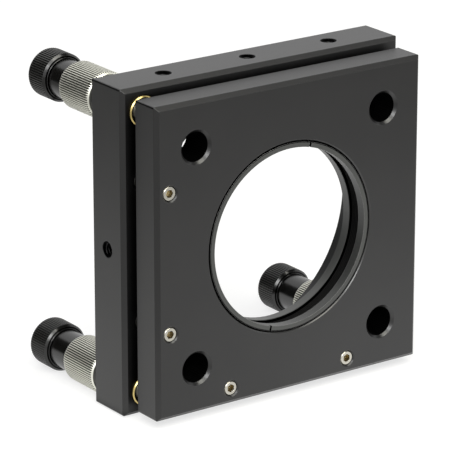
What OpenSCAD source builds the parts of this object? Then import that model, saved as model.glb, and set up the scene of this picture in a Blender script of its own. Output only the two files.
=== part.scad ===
// Kinematic cage mount for a round optic.
// A thick back plate is clamped to four cage rods. A front plate carries the optic and
// rests on the balls of three fine adjusters, and four springs pull it against them.
// X runs to the right, Y to the back along the optical axis, Z up.
// The origin is on the optical axis in the front face of the front plate.

/* [Cage] */
// Distance between neighbouring cage rods
rod_spacing = 60; // [58:0.5:80]
// Diameter of a cage rod
rod_d = 6; // [4.5:0.1:6.4]
// Radial clearance of a rod in the back plate
rod_fit = 0.03; // [0.01:0.01:0.05]
// Radial room round a rod in the front plate
rod_room = 1; // [0.6:0.1:1.4]
// Chamfer of the rod holes in the front plate
rod_hole_chamfer = 0.75; // [0.3:0.05:1]

/* [Plates] */
// From the line of the rods out to the line of the adjusters
adjuster_margin = 8.1; // [8:0.1:12]
// From the line of the adjusters out to the edge of the front plate
edge_margin = 4.3; // [4.2:0.1:12]
// How far the back plate reaches past the front plate on each side
back_overhang = 2.05; // [1.4:0.05:6]
// Thickness of the front plate
front_t = 10.2; // [10:0.1:14]
// Thickness of the back plate
back_t = 14.7; // [12:0.1:20]
// Gap between the plates when they are parallel
plate_gap = 2.1; // [2.1:0.1:3]
// Chamfer round both faces of each plate
plate_chamfer = 1.1; // [0.4:0.1:1.6]
// Radius of the four edges that run along the optical axis
edge_round = 0.6; // [0.2:0.1:1]
// Wall between a rod and the wide bore of the back plate
bore_web = 2.2; // [1.2:0.1:6]
// Chamfer of the wide bore of the back plate
bore_chamfer = 0.4; // [0.2:0.1:0.8]

/* [Optic cell] */
// Diameter of the optic
optic_d = 50.8; // [40:0.1:52]
// How much wider than the optic the threaded cell is
cell_room = 0.7; // [0.4:0.1:1.2]
// Chamfer at the mouth of the cell
cell_chamfer = 0.6; // [0.3:0.1:1]
// How far the lip behind the optic stands in from the wall of the cell
lip_inset = 1; // [0.6:0.1:2]
// Thickness of the lip behind the optic
lip_t = 2.9; // [1.5:0.1:4]
// Chamfer at the back of the lip
lip_chamfer = 0.3; // [0.1:0.1:0.6]
// Thickness of the retaining ring
ring_t = 2.55; // [1.5:0.05:3.5]
// Radial width of the retaining ring
ring_w = 1.4; // [1.1:0.05:2.5]
// Radial clearance of the retaining ring in the cell
ring_fit = 0.1; // [0.05:0.01:0.2]
// How far the retaining ring lies below the front face
ring_depth = 0.15; // [0:0.05:1]
// Width of a spanner slot in the retaining ring
slot_w = 0.65; // [0.4:0.05:1.5]
// Depth of a spanner slot
slot_depth = 1; // [0.5:0.1:1.4]
// Lean of the line of spanner slots from upright, in degrees
slot_lean = 14.6; // [0:0.1:90]

/* [Adjusters] */
// Outer diameter of an adjuster screw
screw_d = 6.2; // [5:0.1:7]
// Radial clearance of a screw in its bushing
screw_fit = 0.05; // [0.02:0.01:0.08]
// Diameter of the ball in the nose of a screw
ball_d = 4; // [3.5:0.1:4.4]
// How far the centre of a ball stands behind the front plate
ball_out = 0.7; // [0.5:0.1:1]
// Wall of a bushing inside the back plate
bushing_wall = 0.9; // [0.6:0.05:1.2]
// How far a bushing stands out into the gap
bushing_proud = 0.7; // [0.3:0.1:0.9]
// Wall of the bushing's barrel behind the back plate
barrel_wall = 1.7; // [1.5:0.1:2]
// Length of the barrel behind the back plate
barrel_l = 9.4; // [7:0.1:10.5]
// Length of the tapered end of the barrel
barrel_taper = 2.4; // [1.5:0.1:3]
// How far the barrel narrows at its end
barrel_drop = 0.5; // [0.2:0.05:0.8]
// Width of the slits that let the barrel close on the screw
slit_w = 0.4; // [0.2:0.05:0.6]
// Length of the slits
slit_l = 6; // [3:0.1:6.5]
// Thickness of the dark washer behind the back plate
washer_t = 1; // [0.6:0.1:1.5]
// Radial width of the washer
washer_w = 0.8; // [0.5:0.1:1.2]
// Running clearance of washer, collar and neck
running_fit = 0.05; // [0.02:0.01:0.08]
// Wall of a lock collar round the barrel
collar_wall = 1.6; // [1.3:0.1:2]
// Length of a lock collar
collar_l = 14.4; // [12:0.1:16]
// Chamfer at the front of a lock collar
collar_nose = 0.6; // [0.3:0.05:0.8]
// Length of the taper at the back of a lock collar
collar_taper = 1.5; // [0.5:0.1:2.5]
// How far the collar narrows at its back
collar_drop = 0.6; // [0.2:0.05:0.7]
// Wall of a knob's neck round the screw
neck_wall = 2.2; // [1.8:0.1:2.4]
// Length of the neck that shows between collar and head
neck_l = 6.3; // [4:0.1:10]
// Length of the neck inside the collar
neck_in = 3.7; // [3:0.1:3.8]
// Width of the groove between neck and head
groove_w = 0.6; // [0.3:0.05:1]
// Depth of the groove between neck and head
groove_depth = 0.6; // [0.2:0.05:0.8]
// Diameter of a knob's head
head_d = 13.2; // [12:0.1:15]
// Length of a knob's head
head_l = 8.1; // [6:0.1:12]
// Bevel at the front of the head
head_bevel = 0.7; // [0.3:0.05:0.9]
// Radius of the rounded end of the head
head_round = 1.2; // [0.6:0.1:2]
// How much further out the bottom left knob is fixed on its screw than the top left one
knob_out_left = 1.6; // [0:0.1:2]
// How much further out the bottom right knob is fixed
knob_out_right = 1.9; // [0:0.1:2]
// Depth of the end of the screw inside the head of the top left knob
screw_sunk = 0.8; // [0.4:0.1:1.5]
// Width across the flats of the hex sockets
hex_af = 2; // [1.5:0.1:2.2]
// Depth of the hex sockets
hex_depth = 1.8; // [1:0.1:2.5]

/* [Seats] */
// Diameter of a hardened seat
seat_d = 7; // [6.4:0.1:7.4]
// Thickness of the cone and vee seats
seat_t = 2.8; // [2.4:0.1:3.2]
// How far the cone and vee seats lie below the plate's face
seat_sunk = 0.4; // [0.2:0.05:0.4]
// Radial width of the bond line round a seat
bond_w = 0.22; // [0.2:0.01:0.3]
// Thickness of the bond line under a seat
bond_t = 0.18; // [0.16:0.01:0.3]
// Clearance between a ball and its seat
contact_gap = 0.05; // [0.02:0.01:0.06]

/* [Springs] */
// Mean diameter of the coil
coil_d = 3.8; // [3.2:0.1:4.2]
// Diameter of the spring wire
wire_d = 0.6; // [0.4:0.05:0.7]
// Mean radius of a spring's end loop
loop_r = 1.2; // [1.15:0.05:1.4]
// Number of turns in a coil
coil_turns = 12; // [8:1:14]
// Diameter of the pockets that the springs lie in
pocket_d = 5.8; // [5.2:0.1:6.2]
// Diameter of the pins at the back ends of the springs
pin_d = 1.6; // [1.2:0.1:1.7]
// Length of those pins
pin_l = 9; // [8:0.1:11]
// Radial room of a pin in its groove
pin_room = 0.05; // [0.02:0.01:0.1]
// From the back face to the centre line of a pin
pin_depth = 1.65; // [1.6:0.05:2.5]
// Diameter of an anchor screw
anchor_d = 3.9; // [3.4:0.1:4.2]
// Radial clearance of an anchor screw in its thread
anchor_fit = 0.05; // [0.02:0.01:0.08]
// Length of the threaded part of an anchor screw
anchor_l = 4.3; // [3.5:0.1:5]
// How far an anchor screw lies below the front face
anchor_sunk = 0.3; // [0:0.05:1]
// Chamfer at the mouth of an anchor hole
anchor_chamfer = 0.4; // [0.2:0.05:0.6]
// Thickness of the eye at the inner end of an anchor screw
eye_t = 1; // [0.8:0.05:1.1]
// Width of that eye
eye_w = 2.4; // [2.2:0.1:2.8]
// Length of that eye
eye_l = 2.4; // [2.2:0.05:2.6]
// Diameter of the hole in the eye
eye_hole_d = 1.04; // [1:0.02:1.1]

/* [Side holes] */
// Diameter of the tapped holes in the edges of the back plate
tapped_d = 3.3; // [2.5:0.1:3.6]
// Chamfer of the tapped holes
tapped_chamfer = 0.65; // [0.2:0.05:0.8]
// Depth of the post holes
post_depth = 5.6; // [4:0.1:5.8]
// From the line of the rods in to the line of the lock screws
lock_inset = 3.4; // [3.2:0.1:3.6]
// How far a lock hole reaches past the near side of its rod
lock_bite = 2; // [1:0.1:2.5]
// Length of a lock screw
lock_l = 5; // [4:0.1:7]
// Radial clearance of a lock screw in its thread
lock_fit = 0.05; // [0.02:0.01:0.08]

/* [Hidden] */

// Facets of a full circle
$fn = 96;
// Sides and steps of the spring wire
wire_sides = 6;
steps_per_turn = 12;
loop_steps = 14;
lead_steps = 5;
// Overrun of every cut
over = 0.5 * plate_chamfer;
// Hairline gap of pieces that are pressed or bonded together
press_gap = 0.01 * rod_fit;

// Half sizes of the plates and the lines of rods, adjusters and springs
rod_at = rod_spacing / 2;
adjuster_at = rod_at + adjuster_margin;
anchor_at = adjuster_at / 2;
front_size = 2 * (adjuster_at + edge_margin);
back_size = front_size + 2 * back_overhang;

// Places along the optical axis
back_y = front_t + plate_gap;
rear_y = back_y + back_t;
middle_y = back_y + back_t / 2;
ball_y = front_t + ball_out;
washer_y = rear_y;
collar_y = washer_y + washer_t + running_fit;
collar_end_y = collar_y + collar_l;
head_y = collar_end_y + neck_l;
head_end_y = head_y + head_l;
screw_end_y = head_end_y - screw_sunk;
barrel_end_y = rear_y + barrel_l;

// Radii
rod_r = rod_d / 2;
rod_bore_r = rod_r + rod_fit;
rod_hole_r = rod_r + rod_room;
wide_bore_r = rod_at * sqrt(2) - rod_bore_r - bore_web;
cell_r = (optic_d + cell_room) / 2;
lip_r = cell_r - lip_inset;
ring_outer_r = cell_r - ring_fit;
ring_inner_r = ring_outer_r - ring_w;
screw_r = screw_d / 2;
ball_r = ball_d / 2;
bushing_bore_r = screw_r + screw_fit;
bushing_r = bushing_bore_r + bushing_wall;
barrel_r = bushing_bore_r + barrel_wall;
washer_bore_r = barrel_r + running_fit;
collar_bore_r = barrel_r + running_fit;
collar_r = collar_bore_r + collar_wall;
neck_r = screw_r + neck_wall;
neck_room_r = neck_r + 2 * running_fit;
seat_r = seat_d / 2;
wire_r = wire_d / 2;
coil_r = coil_d / 2;
pocket_r = pocket_d / 2;
pin_r = pin_d / 2;
anchor_r = anchor_d / 2;
anchor_hole_r = anchor_r + anchor_fit;
tapped_r = tapped_d / 2;
lock_r = tapped_r - lock_fit;

// The seats: the apex of a right-angled cone or vee that holds the ball with its clearance
seat_floor_y = front_t - seat_sunk - seat_t;
apex_y = ball_y - (ball_r + contact_gap) * sqrt(2);
flat_y = ball_y - ball_r - contact_gap;

// The springs: eye hole, end loops and coil
anchor_end_y = anchor_sunk + anchor_l;
eye_end_y = anchor_end_y + eye_l;
eye_hole_y = eye_end_y - 0.375 * eye_l;
pocket_y = anchor_end_y + anchor_fit;
front_loop_y = eye_hole_y + loop_r;
pin_y = rear_y - pin_depth;
lead_l = loop_r / 2;
coil_start_y = front_loop_y + loop_r + lead_l;
coil_end_y = pin_y - loop_r - lead_l;

// Corners and edges that carry pieces: x and z in signs of their lines
top_left = [-1, 1];
bottom_left = [-1, -1];
bottom_right = [1, -1];
top_right = [1, 1];
corner_signs = [top_left, top_right, bottom_left, bottom_right];
adjuster_signs = [top_left, bottom_left, bottom_right];
// Each spring's place, and the turn that lays its back pin along the plate's edge
left_upper = [-adjuster_at, anchor_at, 0];
left_lower = [-adjuster_at, -anchor_at, 0];
low_left = [-anchor_at, -adjuster_at, 90];
low_right = [anchor_at, -adjuster_at, 90];
spring_places = [left_upper, left_lower, low_left, low_right];

// Finishes
anodise = [0.15, 0.15, 0.16];
dark_steel = [0.1, 0.1, 0.1];
bright_steel = [0.74, 0.73, 0.7];
brass = [0.8, 0.62, 0.28];

// Stands what is drawn along Z up the optical axis, at x and z
module axial(x, z, turn = 0) {
    translate([x, 0, z]) rotate([-90, 0, 0]) rotate([0, 0, turn]) children();
}

module at_adjuster(signs) {
    axial(signs[0] * adjuster_at, signs[1] * adjuster_at) children();
}

module at_rods() {
    for (signs = corner_signs) axial(signs[0] * rod_at, signs[1] * rod_at) children();
}

module at_adjusters() {
    for (signs = adjuster_signs) at_adjuster(signs) children();
}

module at_springs() {
    for (place = spring_places) axial(place[0], place[1], place[2]) children();
}

// A turned piece: the points are radius and distance along the axis
module turned(points) {
    rotate_extrude() polygon(points);
}

// A straight hole from one depth to another, chamfered at its near mouth
module chamfered_hole(r, near, far, chamfer) {
    turned([[0, near - over], [r + chamfer + over, near - over], [r, near + chamfer],
        [r, far], [0, far]]);
}

module hex_socket(at, depth) {
    translate([0, 0, at - over]) cylinder(h = depth + over, d = hex_af / cos(30), $fn = 6);
}

// Section of a plate with its four long edges chamfered
module plate_section(size, t) {
    half = size / 2;
    polygon([[-half, plate_chamfer], [plate_chamfer - half, 0], [half - plate_chamfer, 0],
        [half, plate_chamfer], [half, t - plate_chamfer], [half - plate_chamfer, t],
        [plate_chamfer - half, t], [-half, t - plate_chamfer]]);
}

// A square with its corners rounded
module rounded_square(size) {
    inner = size - 2 * edge_round;
    square([size, inner], center = true);
    square([inner, size], center = true);
    for (signs = corner_signs) translate(inner / 2 * signs) circle(r = edge_round);
}

// A square plate, chamfered round both faces and rounded along its four other edges
module chamfered_plate(size, t, from_y) {
    translate([0, from_y, 0]) intersection() {
        linear_extrude(height = size, center = true) plate_section(size, t);
        rotate([0, 90, 0]) linear_extrude(height = size, center = true) plate_section(size, t);
        translate([0, -over, 0]) rotate([-90, 0, 0])
            linear_extrude(height = t + 2 * over) rounded_square(size);
    }
}

// The threaded cell, from its chamfered mouth to the lip that the optic rests on
module cell_cut() {
    lip_y = front_t - lip_t;
    axial(0, 0) turned([[0, -over], [cell_r + cell_chamfer + over, -over], [cell_r, cell_chamfer],
        [cell_r, lip_y], [lip_r, lip_y], [lip_r, front_t - lip_chamfer],
        [lip_r + lip_chamfer + over, front_t + over], [0, front_t + over]]);
}

// Stepped hole of an anchor screw and the front end of its spring
module anchor_cut() {
    chamfered_hole(anchor_hole_r, 0, pocket_y + over, anchor_chamfer);
    translate([0, 0, pocket_y]) cylinder(h = front_t - pocket_y + over, r = pocket_r);
}

module seat_pocket() {
    translate([0, 0, seat_floor_y - bond_t])
        cylinder(h = front_t - seat_floor_y + bond_t + over, r = seat_r + bond_w);
}

module front_plate() {
    color(anodise) difference() {
        chamfered_plate(front_size, front_t, 0);
        cell_cut();
        at_rods() chamfered_hole(rod_hole_r, 0, front_t + over, rod_hole_chamfer);
        at_adjusters() seat_pocket();
        at_springs() anchor_cut();
    }
}

// Pocket of a spring through the back plate, and the groove that its back pin lies in
module spring_cut() {
    groove_r = pin_r + pin_room;
    groove_l = pin_l + 4 * pin_room;
    translate([0, 0, back_y - over]) cylinder(h = back_t + 2 * over, r = pocket_r);
    translate([0, 0, pin_y]) rotate([90, 0, 0]) cylinder(h = groove_l, r = groove_r, center = true);
    translate([-groove_r, -groove_l / 2, pin_y]) cube([2 * groove_r, groove_l, pin_depth + over]);
}

// A tapped hole that starts in the middle of an edge face: turn 0 is the top face
module edge_hole(turn, x, depth) {
    rotate([0, turn, 0]) translate([x, middle_y, back_size / 2]) rotate([180, 0, 0])
        chamfered_hole(tapped_r, 0, depth, tapped_chamfer);
}

module edge_holes() {
    lock_depth = back_size / 2 - rod_at - rod_r + lock_bite;
    for (turn = [0, 90, 180, 270]) edge_hole(turn, 0, post_depth);
    for (turn = [0, 180], side = [-1, 1]) edge_hole(turn, side * (rod_at - lock_inset), lock_depth);
}

module back_plate() {
    color(anodise) difference() {
        chamfered_plate(back_size, back_t, back_y);
        axial(0, 0) chamfered_hole(wide_bore_r, back_y, rear_y + over, bore_chamfer);
        axial(0, 0) translate([0, 0, 2 * rear_y]) mirror([0, 0, 1])
            chamfered_hole(wide_bore_r, rear_y, rear_y + back_t / 2, bore_chamfer);
        at_rods() chamfered_hole(rod_bore_r, back_y, rear_y + over, bore_chamfer);
        at_adjusters() translate([0, 0, back_y - over])
            cylinder(h = back_t + 2 * over, r = bushing_r + press_gap);
        at_springs() spring_cut();
        edge_holes();
    }
}

// The ring is drawn with its slots upright, then turned by their lean
module retaining_ring() {
    color(anodise) rotate([0, slot_lean, 0]) difference() {
        axial(0, 0) turned([[ring_inner_r, ring_depth], [ring_outer_r, ring_depth],
            [ring_outer_r, ring_depth + ring_t], [ring_inner_r, ring_depth + ring_t]]);
        translate([-slot_w / 2, ring_depth - over, -cell_r])
            cube([slot_w, slot_depth + over, 2 * cell_r]);
    }
}

// Brass bushing, counterbored at its nose, with a split and tapered barrel that the lock
// collar closes on the screw
module bushing(signs) {
    nose_y = back_y - bushing_proud;
    rim = bushing_wall / 3;
    mouth_r = bushing_bore_r + bushing_wall / 2;
    mouth_y = nose_y + 2 * bushing_wall;
    color(brass) at_adjuster(signs) difference() {
        turned([[mouth_r, nose_y], [bushing_r - rim, nose_y], [bushing_r, nose_y + rim],
            [bushing_r, rear_y], [barrel_r, rear_y], [barrel_r, barrel_end_y - barrel_taper],
            [barrel_r - barrel_drop, barrel_end_y], [bushing_bore_r, barrel_end_y],
            [bushing_bore_r, mouth_y], [mouth_r, mouth_y]]);
        for (turn = [0, 90]) rotate([0, 0, turn])
            translate([-barrel_r - over, -slit_w / 2, barrel_end_y - slit_l])
                cube([2 * (barrel_r + over), slit_w, slit_l + over]);
    }
}

module washer(signs) {
    color(dark_steel) at_adjuster(signs)
        turned([[washer_bore_r, washer_y], [washer_bore_r + washer_w, washer_y],
            [washer_bore_r + washer_w, washer_y + washer_t], [washer_bore_r, washer_y + washer_t]]);
}

// Threaded at the front for the barrel, wider at the back for the knob's neck
module lock_collar(signs) {
    shelf_y = barrel_end_y + 2 * running_fit;
    color(bright_steel) at_adjuster(signs)
        turned([[collar_bore_r, collar_y], [collar_r - collar_nose, collar_y],
            [collar_r, collar_y + collar_nose], [collar_r, collar_end_y - collar_taper],
            [collar_r - collar_drop, collar_end_y], [neck_room_r, collar_end_y],
            [neck_room_r, shelf_y], [collar_bore_r, shelf_y]]);
}

// Threaded spindle with a narrowed nose that holds the ball
module adjuster_screw(signs) {
    nose_y = ball_y + ball_r / 6;
    nose_r = 0.96 * ball_r;
    color(bright_steel) at_adjuster(signs) difference() {
        turned([[0, nose_y], [nose_r, nose_y], [screw_r, nose_y + screw_r - nose_r],
            [screw_r, screw_end_y], [0, screw_end_y]]);
        translate([0, 0, ball_y]) sphere(r = ball_r + screw_fit / 5);
        mirror([0, 0, 1]) hex_socket(-screw_end_y, hex_depth);
    }
}

// Neck, groove and head in one turned piece, bored for the screw and fixed further out on it
module knob(signs, out) {
    head_r = head_d / 2;
    round_steps = 6;
    groove_y = head_y - groove_w;
    edge = groove_depth / 3;
    color(dark_steel) at_adjuster(signs) translate([0, 0, out])
        turned(concat([[screw_r + press_gap, collar_end_y - neck_in], [neck_r, collar_end_y - neck_in],
            [neck_r, groove_y - edge], [neck_r - edge, groove_y],
            [neck_r - groove_depth, groove_y], [neck_r - groove_depth, head_y],
            [head_r - head_bevel, head_y], [head_r, head_y + head_bevel]],
            [for (i = [0:round_steps]) let (a = 90 * i / round_steps)
                [head_r - head_round * (1 - cos(a)), head_end_y - head_round * (1 - sin(a))]],
            [[screw_r + press_gap, head_end_y]]));
}

module ball(signs) {
    color(bright_steel) at_adjuster(signs) translate([0, 0, ball_y]) sphere(r = ball_r);
}

// Hardened disc in the front plate, its back face at the depth given
module seat_disc(face_y) {
    translate([0, 0, seat_floor_y]) cylinder(h = face_y - seat_floor_y, r = seat_r);
}

// The vee runs up the plate, towards the cone
module vee_seat() {
    reach = front_t - apex_y;
    color(bright_steel) at_adjuster(top_left) difference() {
        seat_disc(front_t - seat_sunk);
        rotate([90, 0, 0]) linear_extrude(height = 2 * seat_d, center = true)
            polygon([[0, apex_y], [reach, apex_y + reach], [-reach, apex_y + reach]]);
    }
}

module cone_seat() {
    reach = front_t - apex_y;
    color(bright_steel) at_adjuster(bottom_left) difference() {
        seat_disc(front_t - seat_sunk);
        turned([[0, apex_y], [reach, apex_y + reach], [0, apex_y + reach]]);
    }
}

module flat_seat() {
    color(bright_steel) at_adjuster(bottom_right) seat_disc(flat_y);
}

// Socket screws with a flat eye at the inner end for the spring's loop
module anchor_screws() {
    edge = anchor_chamfer / 2;
    color(bright_steel) at_springs() difference() {
        union() {
            turned([[0, anchor_sunk], [anchor_r - edge, anchor_sunk], [anchor_r, anchor_sunk + edge],
                [anchor_r, anchor_end_y], [0, anchor_end_y]]);
            translate([-eye_t / 2, -eye_w / 2, anchor_end_y]) cube([eye_t, eye_w, eye_l]);
        }
        hex_socket(anchor_sunk, hex_depth);
        translate([0, 0, eye_hole_y]) rotate([0, 90, 0])
            cylinder(h = eye_t + 2 * over, d = eye_hole_d, center = true);
    }
}

// A spring's centre line: front loop, lead, coil, lead and back loop
function loop_point(at_y, a) = [loop_r * cos(a), 0, at_y + loop_r * sin(a)];
function coil_point(share) = let (a = 360 * coil_turns * share)
    [coil_r * cos(a), coil_r * sin(a), coil_start_y + share * (coil_end_y - coil_start_y)];
// A smooth lead from one point and heading to another
function lead(p, p_heading, q, q_heading) = [for (i = [1:lead_steps - 1]) let (s = i / lead_steps)
    (1 + 2 * s) * (1 - s) ^ 2 * p + s * (1 - s) ^ 2 * p_heading
    + s ^ 2 * (3 - 2 * s) * q + s ^ 2 * (s - 1) * q_heading];
front_loop = [for (i = [0:loop_steps]) loop_point(front_loop_y, -260 + 340 * i / loop_steps)];
back_loop = [for (i = [0:loop_steps]) loop_point(pin_y, -80 + 340 * i / loop_steps)];
coil_steps = coil_turns * steps_per_turn;
coil = [for (i = [0:coil_steps]) coil_point(i / coil_steps)];
spring_path = concat(front_loop,
    lead(front_loop[loop_steps], [-2 * loop_r, 0, lead_l], coil[0], [0, coil_r, lead_l]), coil,
    lead(coil[coil_steps], [0, coil_r, lead_l], back_loop[0], [2 * loop_r, 0, lead_l]), back_loop);

function unit(v) = v / norm(v);
function heading(p, i) = unit(p[min(i + 1, len(p) - 1)] - p[max(i - 1, 0)]);
function across(v, t) = unit(v - (v * t) * t);
// Directions across the path, carried along it without twist
function carried(p) = [for (i = 0, v = across([0, 1, 0], heading(p, 0)); i < len(p);
    i = i + 1, v = across(v, heading(p, min(i, len(p) - 1)))) v];

// A wire swept along a path
module wire(p, r) {
    side = carried(p);
    points = [for (i = [0:len(p) - 1], k = [0:wire_sides - 1])
        let (a = 360 * k / wire_sides, t = heading(p, i))
        p[i] + r * (cos(a) * side[i] + sin(a) * cross(t, side[i]))];
    walls = [for (i = [0:len(p) - 2], k = [0:wire_sides - 1])
        let (a = i * wire_sides + k, b = i * wire_sides + (k + 1) % wire_sides)
        [a, a + wire_sides, b + wire_sides, b]];
    near_end = [for (k = [0:wire_sides - 1]) k];
    far_end = [for (k = [1:wire_sides]) len(p) * wire_sides - k];
    polyhedron(points = points, faces = concat([near_end], walls, [far_end]));
}

module spring(place) {
    color(bright_steel) axial(place[0], place[1], place[2]) wire(spring_path, wire_r);
}

module spring_pins() {
    color(bright_steel) at_springs() translate([0, 0, pin_y]) rotate([90, 0, 0])
        cylinder(h = pin_l, r = pin_r, center = true);
}

// Cup-point screws that press on the cage rods, backed off so that the rods slide in
module rod_lock_screws() {
    tip = lock_r / 2;
    tip_z = rod_at + rod_r;
    color(dark_steel) for (turn = [0, 180], side = [-1, 1])
        rotate([0, turn, 0]) translate([side * (rod_at - lock_inset), middle_y, tip_z])
            difference() {
                turned([[0, 0], [lock_r - tip, 0], [lock_r, tip], [lock_r, lock_l], [0, lock_l]]);
                mirror([0, 0, 1]) hex_socket(-lock_l, hex_depth);
            }
}

back_plate();
bushing(top_left);  // bushing_top_left
bushing(bottom_left);  // bushing_bottom_left
bushing(bottom_right);  // bushing_bottom_right
washer(top_left);  // washer_top_left
washer(bottom_left);  // washer_bottom_left
washer(bottom_right);  // washer_bottom_right
lock_collar(top_left);  // lock_collar_top_left
lock_collar(bottom_left);  // lock_collar_bottom_left
lock_collar(bottom_right);  // lock_collar_bottom_right
adjuster_screw(top_left);  // adjuster_screw_top_left
adjuster_screw(bottom_left);  // adjuster_screw_bottom_left
adjuster_screw(bottom_right);  // adjuster_screw_bottom_right
knob(top_left, 0);  // knob_top_left
knob(bottom_left, knob_out_left);  // knob_bottom_left
knob(bottom_right, knob_out_right);  // knob_bottom_right
ball(top_left);  // ball_top_left
ball(bottom_left);  // ball_bottom_left
ball(bottom_right);  // ball_bottom_right
vee_seat();
cone_seat();
flat_seat();
front_plate();
retaining_ring();
anchor_screws();
spring(left_upper);  // spring_left_upper
spring(left_lower);  // spring_left_lower
spring(low_left);  // spring_bottom_left
spring(low_right);  // spring_bottom_right
spring_pins();
rod_lock_screws();
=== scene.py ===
"""Looks of a kinematic cage mount for a round optic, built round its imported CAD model.

X runs to the right, Y to the back along the optical axis, Z up, all in metres.
The CAD nodes keep their shapes and get their finishes here. New pieces stand for what
the CAD leaves plain: the knurls of the collars and knobs, the springs and the threads.
"""

import math

import bmesh
import bpy
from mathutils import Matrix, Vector


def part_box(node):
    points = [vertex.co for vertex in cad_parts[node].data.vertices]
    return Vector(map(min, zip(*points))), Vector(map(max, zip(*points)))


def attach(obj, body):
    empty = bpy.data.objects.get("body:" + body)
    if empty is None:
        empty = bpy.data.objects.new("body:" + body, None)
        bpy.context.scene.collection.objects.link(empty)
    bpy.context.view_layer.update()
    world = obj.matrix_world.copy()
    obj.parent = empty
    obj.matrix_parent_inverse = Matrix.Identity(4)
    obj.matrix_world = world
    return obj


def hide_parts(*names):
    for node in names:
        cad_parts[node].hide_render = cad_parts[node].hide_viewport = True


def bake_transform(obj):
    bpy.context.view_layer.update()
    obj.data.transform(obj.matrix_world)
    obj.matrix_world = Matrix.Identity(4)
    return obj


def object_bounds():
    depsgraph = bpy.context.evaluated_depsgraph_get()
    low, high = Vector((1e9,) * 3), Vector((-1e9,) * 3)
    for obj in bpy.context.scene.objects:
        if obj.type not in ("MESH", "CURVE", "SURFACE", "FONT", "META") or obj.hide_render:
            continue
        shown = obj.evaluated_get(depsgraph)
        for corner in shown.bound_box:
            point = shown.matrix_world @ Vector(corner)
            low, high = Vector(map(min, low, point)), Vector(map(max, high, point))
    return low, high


MM = 0.001

# The photograph's camera: where it stands in metres, how it looks in degrees, its lens in mm
CAMERA_AT = (-0.4960, -0.6685, 0.2853)
CAMERA_YAW = 35.393
CAMERA_PITCH = -18.707
CAMERA_ROLL = 0.036
CAMERA_LENS = 270.2
CAMERA_SENSOR = 36
CAMERA_CLIP = (0.01, 20)

# Corners with an adjuster
CORNERS = ("top_left", "bottom_left", "bottom_right")

# Above this angle between two faces, in degrees, the edge of a new piece is sharp
SHARP_ANGLE = 32

# Points round one tooth of a knurl: share of the pitch, and share of the depth cut away
TOOTH_SHARES = ((0.0, 0.0), (0.36, 0.0), (0.47, 1.0), (0.89, 1.0))

# What a stretch of a turned profile is: cut by teeth, plain, or a seam painted black as shade
TEETH, PLAIN, SHADE_SEAM = range(3)

# Lock collar, in mm
COLLAR_TEETH = 65
COLLAR_CUT = 0.3
COLLAR_NOSE = 0.6
COLLAR_TAPER = 1.5
COLLAR_DROP = 0.6
# The bevel at its back: its width, and how far outside and inside the drop it starts and ends
COLLAR_BEVEL_W = 0.25
COLLAR_BEVEL_OUT = 0.06
COLLAR_BEVEL_IN = 0.15
COLLAR_BORE_R = 4.9
COLLAR_SHELF_Y = 36.5
NECK_ROOM_R = 5.4

# Knob, in mm
KNOB_TEETH = 65
KNOB_CUT = 0.32
KNOB_BORE_R = 3.1003
NECK_R = 5.3
GROOVE_W = 0.35
GROOVE_DEPTH = 0.35
BEAD_W = 0.3
BEAD_R = 5.6
HEAD_L = 8.1
HEAD_BEVEL = 0.55
HEAD_RIM = 0.1
HEAD_ROUND = 1.2
ROUND_STEPS = 8

# Springs, in mm
SPRING_WIRE_R = 0.3
SPRING_LOOP_R = 1.2
SPRING_COIL_R = 1.9
SPRING_TURNS = 12
SPRING_STEPS_PER_TURN = 32
SPRING_LOOP_STEPS = 40
SPRING_LEAD_STEPS = 12
SPRING_SIDES = 12
SPRING_CUT_SHARES = (0.22, 0.44)
# Where the loops start and how far round they go, in degrees
SPRING_FRONT_LOOP_AT = -260
SPRING_BACK_LOOP_AT = -80
SPRING_LOOP_SWEEP = 340
# The springs' nodes, and whether each is one of the two at the bottom
SPRINGS = (
    ("spring_left_upper", False),
    ("spring_left_lower", False),
    ("spring_bottom_left", True),
    ("spring_bottom_right", True),
)

# Threads, in mm: radius of the wall, pitch, height of the ridge
CELL_R = 25.75
CELL_PITCH = 0.635
CELL_RIDGE = 0.3
CELL_THREAD_END_Y = 7.0
TAPPED_R = 1.65
TAPPED_PITCH = 0.7
TAPPED_RIDGE = 0.16
# How far below the face a tapped hole's thread starts, how deep it goes in the middle holes,
# and how far it stays from the rod lock screws in the others
TAPPED_START = 0.8
TAPPED_DEPTH = 5.3
TAPPED_CLEAR = 0.4
LOCK_SCREW_R = 1.6
# Sections in a turn of a thread, and how many times more there are in the wide one
THREAD_STEPS = 36
CELL_FINENESS = 3
# A ridge: half its foot as a share of the pitch, its crest as a share of its foot, how far it
# is sunk into the wall, and the turns over which its ends taper away
RIDGE_HALF_SHARE = 0.42
RIDGE_CREST_SHARE = 0.2
RIDGE_SINK = 0.05
RIDGE_FADE_TURNS = 0.25

# How soft the edge of a finish's zone is, in mm, as are all sizes of zones below
ZONE_BLUR = 0.06
# How far the mouths of the tapped holes reach, which are painted black as shade
MOUTH_R = 2.24
# The front plate: how far the mouth of its cell (painted highlight), the cell's thread (painted
# black shade) and its turned lip (painted sheen) reach
CELL_MOUTH_R = 26.37
CELL_THREAD_R = 26.08
LIP_R = 24.95
# The retaining ring: where its thread starts, outside which it is painted black as shade, and how
# far its bore reaches, which is painted darker as shade
RING_THREAD_R = 25.45
RING_BORE_R = 24.3
# Where the adjusters are, across and up, and how far the painted shade in the mouths of their
# bushings reaches
ADJUSTER_AT = 38.1
BUSHING_MOUTH_R = 3.72
# Where the rods are, across and up, and how far their holes, painted black as shade, and the
# mouths of these reach
ROD_AT = 30
ROD_HOLE_R = 4.05
ROD_MOUTH_R = 4.8
# How near the plates' corners the edges along Y are polished
EDGE_ZONE_R = 0.5

# The colour of what light doesn't come out of, such as a deep hole
BLACK = (0.0003, 0.0003, 0.0003)

# Size of the clouds in a finish's colour, in mm
CLOUD_SIZE = 14
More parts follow.
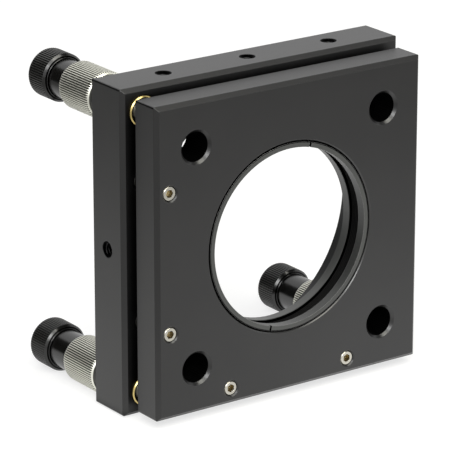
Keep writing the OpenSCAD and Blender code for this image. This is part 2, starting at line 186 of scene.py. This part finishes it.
# How much the roughness of a finish varies either way, as a share of it
ROUGHNESS_SHARE = 0.12
# The grain of a turned piece is long in X and Z, where its coordinates are shrunk by this
TURNED_SHARES = (0.06, 1, 0.06)

# How alike the soft and the true normal are on an edge, which gets a painted highlight and its own
# roughness, and where it ends
EDGE_SHARES = (0.9, 0.995)

# Shares of open sky between which hollows are painted black, as painted shade
PAINTED_SHADE_SKY_SHARES = (0.35, 0.8)

# Hex sockets of the anchor screws: painted shade darkens them between these depths, in mm, to this
# colour
SOCKET_SHADE_Y = (0.35, 0.6)
SOCKET_SHADE_COLOUR = (0.36, 0.31, 0.2)

# Strength of the world's light on the object
WORLD_LEVEL = 0.5

# Floor: its size in metres, its grey, and its glow where it shows
FLOOR_SIZE = 12.0
FLOOR_COLOUR = 0.36
FLOOR_GLOW = 0.72

# The pool of painted light on the floor beside the object, seen only in reflections: its middle,
# its reach in metres, and its glow
POOL_AT = (0.04, 0.02, 0.0)
POOL_REACH = (0.06, 0.33)
POOL_GLOW = 0.88
# It is long in one direction and this many times narrower across it
POOL_ALONG = (0.6, -0.8, 0.0)
POOL_ACROSS = (0.8, 0.6, 0.0)
POOL_SQUEEZE = 1.7

# Lamps: name, place and size in metres, power in watts, colour
LAMPS = (
    ("key", (-0.35, -0.25, 0.75), 0.5, 1.8, (1.0, 1.0, 0.95)),
    ("front", (0.05, -0.5, 0.75), 0.5, 3.9, (1.0, 0.98, 0.88)),
    ("camera_side", (-0.54, -0.65, 0.53), 0.36, 3.6, (1.0, 1.0, 1.0)),
)

# Dark cards: place, width and height in metres, and the grey of them all
CARDS = (
    ((-0.423, 0.635, 0.24), 0.48, 0.6),
    ((0.563, -0.324, 0.759), 0.5, 0.5),
)
CARD_COLOUR = 0.02


def new_node(tree, kind, values=None, links=None, **settings):
    """Adds a node, with its settings, its sockets' values and what feeds them."""
    node = tree.nodes.new(kind)
    for key, value in settings.items():
        setattr(node, key, value)
    for key, value in (values or {}).items():
        node.inputs[key].default_value = value
    for key, source in (links or {}).items():
        tree.links.new(source, node.inputs[key])
    return node


def noise(tree, vector, size):
    """Noise with features of about that size in metres."""
    node = new_node(tree, "ShaderNodeTexNoise", {"Scale": 1 / size, "Detail": 3.0},
                    {"Vector": vector})
    return node.outputs["Fac"]


def ranged(tree, source, low, high, from_low=0.3, from_high=0.7):
    """Maps a value to a range."""
    node = new_node(tree, "ShaderNodeMapRange",
                    {"From Min": from_low, "From Max": from_high, "To Min": low, "To Max": high},
                    {"Value": source})
    return node.outputs["Result"]


def mixed(tree, share, first, second):
    """A colour between two, each a socket or a plain colour."""
    node = new_node(tree, "ShaderNodeMix", data_type="RGBA")
    for index, source in ((0, share), (6, first), (7, second)):
        if isinstance(source, bpy.types.NodeSocket):
            tree.links.new(source, node.inputs[index])
        else:
            node.inputs[index].default_value = (*source, 1) if index else source
    return node.outputs[2]


def edge_mask(tree, radius):
    """A soft normal round the edges, and a mask of them."""
    bevel = new_node(tree, "ShaderNodeBevel", {"Radius": radius}, samples=6)
    geometry = new_node(tree, "ShaderNodeNewGeometry")
    dot = new_node(tree, "ShaderNodeVectorMath", operation="DOT_PRODUCT")
    tree.links.new(bevel.outputs["Normal"], dot.inputs[0])
    tree.links.new(geometry.outputs["True Normal"], dot.inputs[1])
    return bevel.outputs["Normal"], ranged(tree, dot.outputs["Value"], 1, 0, *EDGE_SHARES)


def mirror(tree, place):
    """A place's mirror image on the right and above the optical axis."""
    return new_node(tree, "ShaderNodeVectorMath", links={0: place},
                    operation="ABSOLUTE").outputs["Vector"]


def near_axis(radius, at=(0, 0), inside=True):
    """Marks what lies within a radius of a line along Y, or of its mirror images."""
    def mask(tree, place):
        offset = new_node(tree, "ShaderNodeVectorMath", links={0: mirror(tree, place)},
                          operation="SUBTRACT")
        offset.inputs[1].default_value = (at[0], 0, at[1])
        flat = new_node(tree, "ShaderNodeVectorMath", links={0: offset.outputs["Vector"]},
                        operation="MULTIPLY")
        flat.inputs[1].default_value = (1, 0, 1)
        away = new_node(tree, "ShaderNodeVectorMath", links={0: flat.outputs["Vector"]},
                        operation="LENGTH").outputs["Value"]
        low, high = (1, 0) if inside else (0, 1)
        return ranged(tree, away, low, high, radius - ZONE_BLUR * MM, radius)
    return mask


def near_points(points, radius):
    """Marks what lies within a radius of any point, or of its mirror images in X and Z."""
    def mask(tree, place):
        mirrored = mirror(tree, place)
        nearest = None
        for point in points:
            gap = new_node(tree, "ShaderNodeVectorMath", links={0: mirrored},
                           operation="DISTANCE")
            gap.inputs[1].default_value = point
            away = gap.outputs["Value"]
            if nearest is not None:
                away = new_node(tree, "ShaderNodeMath", links={0: nearest, 1: away},
                                operation="MINIMUM").outputs[0]
            nearest = away
        return ranged(tree, nearest, 1, 0, radius - ZONE_BLUR * MM, radius)
    return mask


def deeper(start, end):
    """Marks what lies behind a depth along Y, blending in from start to end."""
    def mask(tree, place):
        depth = new_node(tree, "ShaderNodeSeparateXYZ", links={0: place}).outputs["Y"]
        return ranged(tree, depth, 0, 1, start, end)
    return mask


def finish_material(name, dark, light, metallic, roughness, grain, grain_depth,
                    edge_highlight_colour=None, edge_highlight_share=0.5, edge_radius=0.12, edge_roughness=None,
                    turned=False, groove_shade_colour=None, groove_shade_metal=1.0, plain=None,
                    specular=0.5, painted_shade_reach=None, zones=()):
    """A metal finish: cloudy colour, fine grain, softened edges with a painted highlight, grooves
    and hollows painted dark as shade, smooth stretches.

    The grain's size and depth, the edges' radius and the reach of the painted shade in hollows
    are in mm. Each zone is a mask, with the colour, roughness and metal that hold inside it, or
    None where one stays as it is, and plain is the colour and roughness of the smooth stretches
    of a knurled piece. A metal with a black colour shines back nothing, which paints shade.
    """
    material = bpy.data.materials.new(name)
    material.use_nodes = True
    tree = material.node_tree
    shader = tree.nodes["Principled BSDF"]
    shader.inputs["Metallic"].default_value = metallic
    shader.inputs["Specular IOR Level"].default_value = specular
    place = new_node(tree, "ShaderNodeTexCoord").outputs["Object"]
    cloud = ranged(tree, noise(tree, place, CLOUD_SIZE * MM), 0, 1)
    colour = mixed(tree, cloud, dark, light)
    grain_place = place
    if turned:
        stretch = new_node(tree, "ShaderNodeVectorMath", operation="MULTIPLY",
                           links={0: place})
        stretch.inputs[1].default_value = TURNED_SHARES
        grain_place = stretch.outputs["Vector"]
    grains = noise(tree, grain_place, grain * MM)
    normal, edges = edge_mask(tree, edge_radius * MM)
    masks = []
    if edge_roughness:
        masks.append((edges, None, edge_roughness, None))
    if plain:
        smooth = new_node(tree, "ShaderNodeAttribute", attribute_name="plain")
        masks.append((smooth.outputs["Fac"], *plain, None))
    # Painted shade: the knurls' grooves and the seams take this colour and metal
    if groove_shade_colour:
        groove = new_node(tree, "ShaderNodeAttribute", attribute_name="groove")
        masks.append((groove.outputs["Fac"], groove_shade_colour, None, groove_shade_metal))
    # Painted shade: hollows, found by ambient occlusion, turn black metal that shines back nothing
    if painted_shade_reach:
        shade = new_node(tree, "ShaderNodeAmbientOcclusion", {"Distance": painted_shade_reach * MM}, samples=8)
        deep = ranged(tree, shade.outputs["AO"], 1, 0, *PAINTED_SHADE_SKY_SHARES)
        masks.append((deep, (0, 0, 0), None, 1.0))
    masks += [(mask(tree, place), *values) for mask, *values in zones]
    for mask, zone_colour, _, _ in masks:
        if zone_colour is not None:
            colour = mixed(tree, mask, colour, zone_colour)
    # Painted highlight: edges get a lighter colour
    if edge_highlight_colour:
        painted_highlight_amount = new_node(tree, "ShaderNodeMath", {1: edge_highlight_share}, {0: edges}, operation="MULTIPLY")
        colour = mixed(tree, painted_highlight_amount.outputs[0], colour, edge_highlight_colour)
    tree.links.new(colour, shader.inputs["Base Color"])
    rough = ranged(tree, grains, roughness * (1 - ROUGHNESS_SHARE),
                   roughness * (1 + ROUGHNESS_SHARE))
    metal = None
    for mask, _, zone_roughness, zone_metal in masks:
        if zone_roughness is not None:
            rough = new_node(tree, "ShaderNodeMix", {"B": zone_roughness},
                             {"Factor": mask, "A": rough}).outputs["Result"]
        if zone_metal is not None:
            links = {"Factor": mask}
            if metal is not None:
                links["A"] = metal
            metal = new_node(tree, "ShaderNodeMix", {"A": metallic, "B": zone_metal},
                             links).outputs["Result"]
    if metal is not None:
        tree.links.new(metal, shader.inputs["Metallic"])
    tree.links.new(rough, shader.inputs["Roughness"])
    bump = new_node(tree, "ShaderNodeBump", {"Distance": grain_depth * MM, "Strength": 1.0},
                    {"Height": grains, "Normal": normal})
    tree.links.new(bump.outputs["Normal"], shader.inputs["Normal"])
    return material


def anodised(name, zones, plate=None):
    """The black of the plates, with painted shade in hollows, a painted highlight on edges, and
    the polished edges and the rod holes, painted black as shade, of one of them.
    """
    if plate:
        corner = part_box(plate)[1]
        rod = (ROD_AT * MM, ROD_AT * MM)
        # Painted shade: the rod holes turn black metal that shines back nothing
        zones = [(near_axis(EDGE_ZONE_R * MM, (corner.x, corner.z)), None, 0.14, None),
                 (near_axis(ROD_MOUTH_R * MM, rod), None, 0.3, None),
                 (near_axis(ROD_HOLE_R * MM, rod), BLACK, 0.7, 1.0)] + zones
    return finish_material(
        name, (0.005, 0.005, 0.0053), (0.0075, 0.0073, 0.0075), 0.0, 0.38, 0.16, 0.006,
        edge_highlight_colour=(0.06, 0.06, 0.064), edge_highlight_share=0.15, edge_radius=0.2, edge_roughness=0.12,
        specular=0.62, painted_shade_reach=4, zones=zones)


def tapped_mouths():
    """The mouths of the tapped holes, without their mirror images: across, depth, height."""
    low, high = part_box("back_plate")
    _, lock_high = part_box("rod_lock_screws")
    middle = (low.y + high.y) / 2
    lock_at = lock_high.x - LOCK_SCREW_R * MM
    return [(0, middle, high.z), (high.x, middle, 0), (lock_at, middle, high.z)]


def make_materials():
    """Every finish of the object by name."""
    return {
        "black_anodise": anodised("black_anodise", []),
        # The cell's thread piece: near black with a weak shine, as painted shade
        "cell_thread_shade": finish_material(
            "cell_thread_shade", (0.0005, 0.0005, 0.0005), (0.001, 0.001, 0.001), 0.0, 0.6,
            0.05, 0.002, edge_highlight_colour=(0.01, 0.01, 0.01), edge_highlight_share=0.3, turned=True,
            specular=0.15, painted_shade_reach=2),
        "front_anodise": anodised("front_anodise", [
            # Painted light in the cell: a lighter mouth as painted highlight with lower roughness,
            # a black thread as painted shade, a lighter lip as painted sheen
            (near_axis(CELL_MOUTH_R * MM), (0.03, 0.03, 0.03), 0.25, None),
            (near_axis(CELL_THREAD_R * MM), BLACK, 0.7, 1.0),
            (near_axis(LIP_R * MM), (0.045, 0.0465, 0.045), 0.36, 0.0)], "front_plate"),
        "back_anodise": anodised("back_anodise", [
            # Painted shade: the tapped holes' mouths turn black metal
            (near_points(tapped_mouths(), MOUTH_R * MM), BLACK, 0.6, 1.0)], "back_plate"),
        "ring_anodise": finish_material(
            "ring_anodise", (0.055, 0.057, 0.055), (0.066, 0.068, 0.065), 0.0, 0.36,
            0.05, 0.002, edge_highlight_colour=(0.4, 0.4, 0.4), edge_highlight_share=0.6, turned=True, painted_shade_reach=1.5,
            # Painted shade: black beyond the ring's thread start, darker in its bore; its edges
            # get a strong painted highlight
            zones=[(near_axis(RING_THREAD_R * MM, inside=False), BLACK, 0.6, 1.0),
                   (near_axis(RING_BORE_R * MM), (0.025, 0.026, 0.025), None, None)]),
        "black_steel": finish_material(
            "black_steel", (0.010, 0.010, 0.010), (0.015, 0.0147, 0.014), 0.0, 0.34,
            0.06, 0.002, edge_highlight_colour=(0.10, 0.10, 0.10), edge_highlight_share=0.5, turned=True),
        "knob_black": finish_material(
            "knob_black", (0.013, 0.0127, 0.0112), (0.018, 0.0175, 0.0155), 0.0, 0.3,
            0.05, 0.002, edge_highlight_colour=(0.10, 0.10, 0.10), edge_highlight_share=0.5, edge_radius=0.05,
            turned=True, groove_shade_colour=BLACK, groove_shade_metal=0.8,
            plain=((0.0036, 0.0035, 0.0031), 0.2), specular=0.62),
        "knurled_steel": finish_material(
            "knurled_steel", (0.80, 0.80, 0.715), (0.88, 0.88, 0.79), 1.0, 0.42,
            0.05, 0.002, edge_highlight_colour=(0.85, 0.83, 0.77), edge_highlight_share=0.4, edge_radius=0.05,
            turned=True, groove_shade_colour=(0.02, 0.019, 0.014)),
        "bright_steel": finish_material(
            "bright_steel", (0.56, 0.55, 0.51), (0.64, 0.63, 0.59), 1.0, 0.28,
            0.05, 0.002, edge_highlight_colour=(0.85, 0.84, 0.80), edge_highlight_share=0.5, turned=True),
        "socket_steel": finish_material(
            "socket_steel", (0.46, 0.445, 0.39), (0.54, 0.52, 0.46), 1.0, 0.25,
            0.05, 0.002, edge_highlight_colour=(0.85, 0.84, 0.80), edge_highlight_share=0.5, turned=True,
            # Painted shade inside the sockets, darker with depth
            zones=[(deeper(*(y * MM for y in SOCKET_SHADE_Y)), SOCKET_SHADE_COLOUR, 0.3, None)]),
        # Steel of the adjuster screws and balls, painted dark as the shade between the plates
        "dark_steel": finish_material(
            "dark_steel", (0.10, 0.095, 0.08), (0.14, 0.133, 0.11), 1.0, 0.36,
            0.05, 0.002, edge_highlight_colour=(0.3, 0.29, 0.26), edge_highlight_share=0.4, turned=True),
        # Spring wire painted dark as the shade between the plates
        "spring_wire": finish_material(
            "spring_wire", (0.09, 0.09, 0.085), (0.13, 0.13, 0.12), 1.0, 0.3,
            0.08, 0.002, edge_radius=0.03),
        "brass": finish_material(
            "brass", (0.60, 0.46, 0.17), (0.68, 0.54, 0.23), 1.0, 0.28,
            0.06, 0.002, edge_highlight_colour=(0.95, 0.88, 0.6), edge_highlight_share=0.3, turned=True, painted_shade_reach=0.8,
            # Painted shade: the bushings' mouths dark brown
            zones=[(near_axis(BUSHING_MOUTH_R * MM, (ADJUSTER_AT * MM, ADJUSTER_AT * MM)),
                    (0.10, 0.06, 0.02), None, None)]),
    }


def finish_of(node):
    """The finish of a CAD node, by its name."""
    if node in ("front_plate", "back_plate"):
        return node.replace("plate", "anodise")
    if node == "retaining_ring":
        return "ring_anodise"
    if node.startswith("bushing"):
        return "brass"
    if node == "anchor_screws":
        return "socket_steel"
    if node.startswith(("washer", "rod_lock")):
        return "black_steel"
    if node.startswith(("adjuster_screw", "ball")):
        return "dark_steel"
    if node.startswith("knob"):
        return "knob_black"
    if node.startswith("lock_collar"):
        return "knurled_steel"
    if node.startswith("spring_") and node != "spring_pins":
        return "spring_wire"
    return "bright_steel"


def paint(piece, material):
    """Puts one material on every slot of a piece."""
    if not piece.material_slots:
        piece.data.materials.append(material)
    for slot in piece.material_slots:
        slot.material = material


def skin(name, loops, ring, shares=None):
    """A mesh through loops of points, which closes on itself or is capped at both ends."""
    sides = len(loops[0])
    points = [point for loop in loops for point in loop]
    faces = []
    for i in range(len(loops) if ring else len(loops) - 1):
        near = i * sides
        far = (i + 1) % len(loops) * sides
        for k in range(sides):
            after = (k + 1) % sides
            faces.append((near + k, near + after, far + after, far + k))
    if not ring:
        faces.append(tuple(reversed(range(sides))))
        faces.append(tuple(range(len(points) - sides, len(points))))
    mesh = bpy.data.meshes.new(name)
    mesh.from_pydata(points, [], faces)
    for key, values in (shares or {}).items():
        attribute = mesh.attributes.new(key, "FLOAT", "POINT")
        attribute.data.foreach_set("value", values)
    body = bmesh.new()
    body.from_mesh(mesh)
    bmesh.ops.recalc_face_normals(body, faces=body.faces)
    body.to_mesh(mesh)
    body.free()
    mesh.shade_smooth()
    mesh.set_sharp_from_angle(angle=math.radians(SHARP_ANGLE))
    piece = bpy.data.objects.new(name, mesh)
    bpy.context.scene.collection.objects.link(piece)
    return piece


def axis_of(node):
    """X and Z of the middle of a node, and its nearest and furthest Y, in mm."""
    low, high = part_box(node)
    middle = (low + high) / 2 / MM
    return middle.x, middle.z, low.y / MM, high.y / MM


def knurled(name, x, z, profile, teeth, cut, outer):
    """A turned piece whose knurled stretches are cut with straight teeth.

    The profile's points are distance along Y, radius, and the kind of stretch: teeth, plain, or a
    seam painted black as shade.
    """
    loops = []
    shares = {"groove": [], "plain": []}
    for y, radius, kind in profile:
        has_teeth = kind == TEETH
        loop = []
        for tooth in range(teeth):
            for share, depth in TOOTH_SHARES:
                angle = 2 * math.pi * (tooth + share) / teeth
                floor = outer - cut * depth if has_teeth else radius
                r = min(radius, floor)
                loop.append(Vector((x + r * math.cos(angle), y, z + r * math.sin(angle))) * MM)
                # The groove share sets where painted shade falls in the teeth and on the seams
                if has_teeth and radius >= outer - cut:
                    shares["groove"].append(depth)
                else:
                    shares["groove"].append(1.0 if kind == SHADE_SEAM else 0.0)
                shares["plain"].append(0.0 if has_teeth else 1.0)
        loops.append(loop)
    return skin(name, loops, True, shares)


def collar_profile(start, end, outer):
    """Round the section of a lock collar: bore, nose, knurl, taper, neck room."""
    taper = COLLAR_TAPER * COLLAR_CUT / COLLAR_DROP
    return [
        (start, COLLAR_BORE_R, PLAIN),
        (start, outer - COLLAR_NOSE, PLAIN),
        (start + COLLAR_NOSE - COLLAR_CUT, outer - COLLAR_CUT, PLAIN),
        (start + COLLAR_NOSE, outer, TEETH),
        (end - COLLAR_TAPER, outer, TEETH),
        (end - COLLAR_TAPER + taper, outer - COLLAR_CUT, TEETH),
        (end - COLLAR_BEVEL_W, outer - COLLAR_DROP + COLLAR_BEVEL_OUT, PLAIN),
        (end, outer - COLLAR_DROP - COLLAR_BEVEL_IN, PLAIN),
        (end, NECK_ROOM_R, PLAIN),
        (COLLAR_SHELF_Y, NECK_ROOM_R, PLAIN),
        (COLLAR_SHELF_Y, COLLAR_BORE_R, PLAIN),
    ]


def knob_profile(start, end, outer):
    """Round the section of a knob: neck, seam, bead, seam, head and its round end, bore."""
    head = end - HEAD_L
    bead = head - BEAD_W
    groove = bead - GROOVE_W
    edge = BEAD_W / 3
    points = [
        (start, KNOB_BORE_R, PLAIN),
        (start, NECK_R, PLAIN),
        (groove - edge, NECK_R, PLAIN),
        # The seams between neck, bead and head are painted black as shade
        (groove, NECK_R - edge, SHADE_SEAM),
        (groove, NECK_R - GROOVE_DEPTH, SHADE_SEAM),
        (bead, NECK_R - GROOVE_DEPTH, SHADE_SEAM),
        (bead, BEAD_R - 2 * edge, SHADE_SEAM),
        (bead, BEAD_R - edge, PLAIN),
        (bead + edge, BEAD_R, PLAIN),
        (head - edge, BEAD_R, PLAIN),
        (head, BEAD_R - edge, SHADE_SEAM),
        (head, outer - HEAD_BEVEL - edge / 2, SHADE_SEAM),
        (head, outer - HEAD_BEVEL, PLAIN),
        (head + HEAD_BEVEL, outer, PLAIN),
        (head + HEAD_BEVEL + HEAD_RIM, outer, TEETH),
    ]
    for i in range(ROUND_STEPS + 1):
        angle = math.pi / 2 * i / ROUND_STEPS
        radius = outer - HEAD_ROUND * (1 - math.cos(angle))
        points.append((end - HEAD_ROUND * (1 - math.sin(angle)), radius, TEETH))
    points.append((end, KNOB_BORE_R, PLAIN))
    return points


def make_knurls(corner, materials):
    """The lock collar and the knob of one adjuster."""
    for node, body, slot, profile, teeth, cut in (
            ("lock_collar_", "collar_", "knurled_steel", collar_profile, COLLAR_TEETH, COLLAR_CUT),
            ("knob_", "adjuster_", "black_steel", knob_profile, KNOB_TEETH, KNOB_CUT)):
        x, z, start, end = axis_of(node + corner)
        low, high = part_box(node + corner)
        outer = (high.x - low.x) / 2 / MM
        piece = knurled("knurled_" + node + corner, x, z, profile(start, end, outer),
                        teeth, cut, outer)
        paint(piece, materials[finish_of(node)])
        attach(piece, body + corner)
        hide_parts(node + corner)


def tube(name, path, radius, sides):
    """A round wire along a path, with its sections carried along without twist."""
    loops = []
    across = None
    for i, point in enumerate(path):
        heading = (path[min(i + 1, len(path) - 1)] - path[max(i - 1, 0)]).normalized()
        if across is None:
            across = heading.orthogonal()
        across = (across - across.dot(heading) * heading).normalized()
        other = heading.cross(across)
        loops.append([point + radius * (math.cos(a) * across + math.sin(a) * other)
                      for a in (2 * math.pi * k / sides for k in range(sides))])
    return skin(name, loops, False)


def lead(start, start_heading, end, end_heading):
    """A smooth lead between two points, without its ends."""
    points = []
    for i in range(1, SPRING_LEAD_STEPS):
        s = i / SPRING_LEAD_STEPS
        points.append((1 + 2 * s) * (1 - s) ** 2 * start + s * (1 - s) ** 2 * start_heading
                      + s * s * (3 - 2 * s) * end + s * s * (s - 1) * end_heading)
    return points


def spring_path(front, rear):
    """Centre line of a spring in its own frame: both loops' centres are on its axis, in mm."""
    r = SPRING_LOOP_R
    lead_l = r / 2
    start = front + r + lead_l
    end = rear - r - lead_l

    def loop(y, first):
        angles = [math.radians(first + SPRING_LOOP_SWEEP * i / SPRING_LOOP_STEPS)
                  for i in range(SPRING_LOOP_STEPS + 1)]
        return [Vector((r * math.cos(a), 0, y + r * math.sin(a))) for a in angles]

    steps = SPRING_TURNS * SPRING_STEPS_PER_TURN
    coil = []
    for i in range(steps + 1):
        a = 2 * math.pi * i / SPRING_STEPS_PER_TURN
        coil.append(Vector((SPRING_COIL_R * math.cos(a), SPRING_COIL_R * math.sin(a),
                            start + (end - start) * i / steps)))
    front_loop = loop(front, SPRING_FRONT_LOOP_AT)
    back_loop = loop(rear, SPRING_BACK_LOOP_AT)
    into = lead(front_loop[-1], Vector((-2 * r, 0, lead_l)), coil[0],
                Vector((0, SPRING_COIL_R, lead_l)))
    out = lead(coil[-1], Vector((0, SPRING_COIL_R, lead_l)), back_loop[0],
               Vector((2 * r, 0, lead_l)))
    return front_loop + into + coil + out + back_loop


def make_spring(node, lies_low, materials):
    """One extension spring, made in three lengths."""
    x, z, near, far = axis_of(node)
    reach = SPRING_LOOP_R + SPRING_WIRE_R
    path = []
    for u, v, y in spring_path(near + reach, far - reach):
        place = (x - v, y, z - u) if lies_low else (x + u, y, z - v)
        path.append(Vector(place) * MM)
    cuts = [0] + [int(share * len(path)) for share in SPRING_CUT_SHARES] + [len(path) - 1]
    bodies = (("vee_carrier", "front"), ("cone_carrier", "vee_carrier"), ("base", "cone_carrier"))
    for part, (first, last, (rear_body, front_body)) in enumerate(
            zip(cuts[:-1], cuts[1:], bodies)):
        piece = tube(f"{node}_part_{part + 1}", path[first:last + 1], SPRING_WIRE_R * MM,
                     SPRING_SIDES)
        paint(piece, materials["spring_wire"])
        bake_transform(piece)
        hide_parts(node)


def thread(name, centre, across, other, along, radius, start, end, pitch, ridge, fineness=1):
    """A helical ridge on the wall of a hole, which tapers away at both ends."""
    turns = (end - start) / pitch
    steps = int(THREAD_STEPS * turns * fineness)
    half = RIDGE_HALF_SHARE * pitch
    flat = RIDGE_CREST_SHARE * half
    base = radius + RIDGE_SINK
    loops = []
    for i in range(steps + 1):
        share = i / steps
        angle = 2 * math.pi * turns * share
        fade = min(1.0, share * turns / RIDGE_FADE_TURNS, (1 - share) * turns / RIDGE_FADE_TURNS)
        out = math.cos(angle) * across + math.sin(angle) * other
        middle = start + (end - start) * share
        crest = radius - ridge * fade
        section = ((base, -half), (crest, -flat), (crest, flat), (base, half))
        loops.append([(centre + out * r + along * (middle + y)) * MM for r, y in section])
    return skin(name, loops, False)


def make_threads(materials):
    """The thread of the optic cell and those of the tapped holes in the back plate."""
    x, z, y = Vector((1, 0, 0)), Vector((0, 0, 1)), Vector((0, 1, 0))
    _, ring_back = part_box("retaining_ring")
    start = ring_back.y / MM + CELL_PITCH / 2
    cell = thread("cell_thread", Vector((0, 0, 0)), x, z, y, CELL_R, start,
                  CELL_THREAD_END_Y, CELL_PITCH, CELL_RIDGE, CELL_FINENESS)
    paint(cell, materials["cell_thread_shade"])
    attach(cell, "front")
    low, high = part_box("back_plate")
    middle = Vector((0, (low.y + high.y) / 2 / MM, 0))
    half = high.z / MM
    _, lock_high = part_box("rod_lock_screws")
    lock_at = lock_high.x / MM - LOCK_SCREW_R
    lock_floor = lock_high.z / MM + TAPPED_CLEAR
    for i, (out, side) in enumerate(((z, x), (x, z), (-z, x), (-x, z))):
        holes = [(0, half - TAPPED_DEPTH)]
        if out.z:
            holes += [(-lock_at, lock_floor), (lock_at, lock_floor)]
        for j, (offset, floor) in enumerate(holes):
            piece = thread(f"tapped_thread_{i + 1}_{j + 1}", middle + side * offset, side, y,
                           out, TAPPED_R, floor, half - TAPPED_START, TAPPED_PITCH, TAPPED_RIDGE)
            paint(piece, materials["black_anodise"])
            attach(piece, "base")


def make_camera():
    """The camera of the photograph."""
    camera = bpy.data.objects.new("camera", bpy.data.cameras.new("camera"))
    camera.data.sensor_width = CAMERA_SENSOR
    camera.data.lens = CAMERA_LENS
    camera.data.clip_start, camera.data.clip_end = CAMERA_CLIP
    camera.location = CAMERA_AT
    camera.rotation_euler = (math.radians(90 + CAMERA_PITCH), math.radians(CAMERA_ROLL),
                             math.radians(-CAMERA_YAW))
    bpy.context.scene.collection.objects.link(camera)
    bpy.context.scene.camera = camera


def shown_rays(tree):
    """1 for rays from the camera and for those that metal and glass send on."""
    path = new_node(tree, "ShaderNodeLightPath")
    first = new_node(tree, "ShaderNodeMath", operation="MAXIMUM",
                     links={0: path.outputs["Is Camera Ray"], 1: path.outputs["Is Glossy Ray"]})
    both = new_node(tree, "ShaderNodeMath", operation="MAXIMUM",
                    links={0: first.outputs[0], 1: path.outputs["Is Transmission Ray"]})
    return both.outputs[0]


def make_world():
    """White where it shows, and a plain level of light on the object."""
    world = bpy.data.worlds.new("studio")
    bpy.context.scene.world = world
    world.use_nodes = True
    tree = world.node_tree
    background = tree.nodes["Background"]
    background.inputs["Color"].default_value = (1, 1, 1, 1)
    level = ranged(tree, shown_rays(tree), WORLD_LEVEL, 1.0, 0, 1)
    tree.links.new(level, background.inputs["Strength"])


def matt_sheet(name, width, height, z, grey):
    """A flat sheet across Z with a plain matt material."""
    w, h = width / 2, height / 2
    mesh = bpy.data.meshes.new(name)
    mesh.from_pydata([(-w, -h, z), (w, -h, z), (w, h, z), (-w, h, z)], [], [(0, 1, 2, 3)])
    sheet = bpy.data.objects.new(name, mesh)
    bpy.context.scene.collection.objects.link(sheet)
    material = bpy.data.materials.new(name)
    material.use_nodes = True
    shader = material.node_tree.nodes["Principled BSDF"]
    shader.inputs["Base Color"].default_value = (grey, grey, grey, 1)
    shader.inputs["Roughness"].default_value = 1.0
    shader.inputs["Specular IOR Level"].default_value = 0.0
    paint(sheet, material)
    return sheet


def make_floor(low_z):
    """A white floor that keeps a soft shadow of the object, with a pool of painted light beside it
    that only reflections show.
    """
    floor = matt_sheet("floor", FLOOR_SIZE, FLOOR_SIZE, low_z, FLOOR_COLOUR)
    tree = floor.active_material.node_tree
    shader = tree.nodes["Principled BSDF"]
    shader.inputs["Emission Color"].default_value = (1, 1, 1, 1)
    path = new_node(tree, "ShaderNodeLightPath")
    place = new_node(tree, "ShaderNodeTexCoord").outputs["Object"]
    offset = new_node(tree, "ShaderNodeVectorMath", links={0: place}, operation="SUBTRACT")
    offset.inputs[1].default_value = (POOL_AT[0], POOL_AT[1], low_z)
    spans = []
    for heading, squeeze in ((POOL_ALONG, 1), (POOL_ACROSS, POOL_SQUEEZE)):
        span = new_node(tree, "ShaderNodeVectorMath", links={0: offset.outputs["Vector"]},
                        operation="DOT_PRODUCT")
        span.inputs[1].default_value = [squeeze * part for part in heading]
        spans.append(span.outputs["Value"])
    flat = new_node(tree, "ShaderNodeCombineXYZ", links={0: spans[0], 1: spans[1]})
    away = new_node(tree, "ShaderNodeVectorMath", links={0: flat.outputs["Vector"]},
                    operation="LENGTH").outputs["Value"]
    pool = ranged(tree, away, POOL_GLOW, 0.0, *POOL_REACH)
    seen = new_node(tree, "ShaderNodeMath", {1: FLOOR_GLOW},
                    {0: path.outputs["Is Camera Ray"]}, operation="MULTIPLY")
    mirrored = new_node(tree, "ShaderNodeMath", links={0: path.outputs["Is Glossy Ray"], 1: pool},
                        operation="MULTIPLY")
    glow = new_node(tree, "ShaderNodeMath", links={0: seen.outputs[0], 1: mirrored.outputs[0]},
                    operation="ADD")
    through = new_node(tree, "ShaderNodeMath", {1: FLOOR_GLOW},
                       {0: path.outputs["Is Transmission Ray"]}, operation="MULTIPLY")
    glow = new_node(tree, "ShaderNodeMath", links={0: glow.outputs[0], 1: through.outputs[0]},
                    operation="ADD")
    tree.links.new(glow.outputs[0], shader.inputs["Emission Strength"])


def area_lamp(name, at, size, power, colour):
    """A soft square lamp that faces the object and doesn't show."""
    data = bpy.data.lights.new(name, "AREA")
    data.size = size
    data.energy = power
    data.color = colour
    lamp = bpy.data.objects.new(name, data)
    lamp.location = at
    lamp.rotation_euler = (-Vector(at)).to_track_quat("-Z", "Y").to_euler()
    lamp.visible_camera = False
    bpy.context.scene.collection.objects.link(lamp)


def dark_card(at, width, height):
    """A black card of the studio that faces the object and shows only as a dark reflection."""
    card = matt_sheet("card", width, height, 0, CARD_COLOUR)
    card.location = at
    card.rotation_euler = (-Vector(at)).to_track_quat("Z", "Y").to_euler()
    for rays in ("camera", "diffuse", "shadow", "transmission"):
        setattr(card, "visible_" + rays, False)


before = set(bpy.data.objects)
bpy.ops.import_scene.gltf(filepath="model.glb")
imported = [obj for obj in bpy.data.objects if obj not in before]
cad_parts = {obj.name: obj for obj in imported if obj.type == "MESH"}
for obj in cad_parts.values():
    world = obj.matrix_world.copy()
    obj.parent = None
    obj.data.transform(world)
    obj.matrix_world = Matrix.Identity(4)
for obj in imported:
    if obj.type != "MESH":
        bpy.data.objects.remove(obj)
cad_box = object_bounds()
make_camera()
finishes = make_materials()
for cad_name, cad_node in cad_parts.items():
    paint(cad_node, finishes[finish_of(cad_name)])
for corner_name in CORNERS:
    make_knurls(corner_name, finishes)
for spring_name, spring_low in SPRINGS:
    make_spring(spring_name, spring_low, finishes)
make_threads(finishes)
make_world()
make_floor(cad_box[0].z)
for lamp_values in LAMPS:
    area_lamp(*lamp_values)
for card_values in CARDS:
    dark_card(*card_values)
bpy.context.scene.view_settings.view_transform = "Standard"
